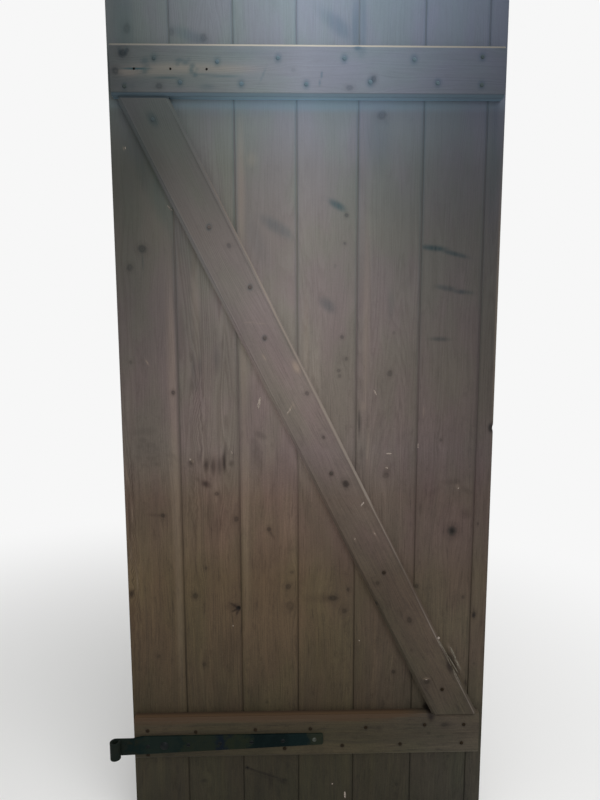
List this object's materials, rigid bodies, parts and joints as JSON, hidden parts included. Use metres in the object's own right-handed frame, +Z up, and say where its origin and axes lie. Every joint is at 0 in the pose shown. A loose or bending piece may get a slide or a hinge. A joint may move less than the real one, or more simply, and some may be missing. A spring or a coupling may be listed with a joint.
{
  "type": "barn door",
  "caption": "Ledged and braced barn door leaf of tongue-and-groove boards with a tapered lower strap hinge and an empty rolled eye.",
  "frame": {"origin": "centre of the lower hinge eye, on the pin's axis, half way up the eye", "axes": "+X across the leaf from the hinge side to the closing side, +Y from the ledge side to the weather side, +Z up the pin"},
  "size_m": [0.882, 0.0823, 2],
  "materials": {
    "board_wood": "rough, weathered and dusty",
    "ledge_wood": "rough, weathered, pale worn edges",
    "brace_wood": "rough, weathered, pale worn edges",
    "black_iron": "matt black, dull",
    "dark_steel": "dull, tarnished",
    "bright_steel": "satin",
    "nail_iron": "rusty"
  },
  "bodies": {
    "root": {"board_1": "board_wood", "board_2": "board_wood", "board_3": "board_wood", "board_4": "board_wood", "board_5": "board_wood", "board_6": "board_wood", "board_7": "board_wood", "top_ledge": "ledge_wood", "bottom_ledge": "ledge_wood", "brace": "brace_wood", "strap_hinge": "black_iron", "strap_bolt": "black_iron", "strap_bolt_washer": "black_iron", "strap_bolt_nut": "black_iron", "strap_screws": "dark_steel", "strap_end_screw": "bright_steel", "top_ledge_nails": "nail_iron", "bottom_ledge_nails": "nail_iron", "brace_nails": "nail_iron"}
  },
  "joints": []
}
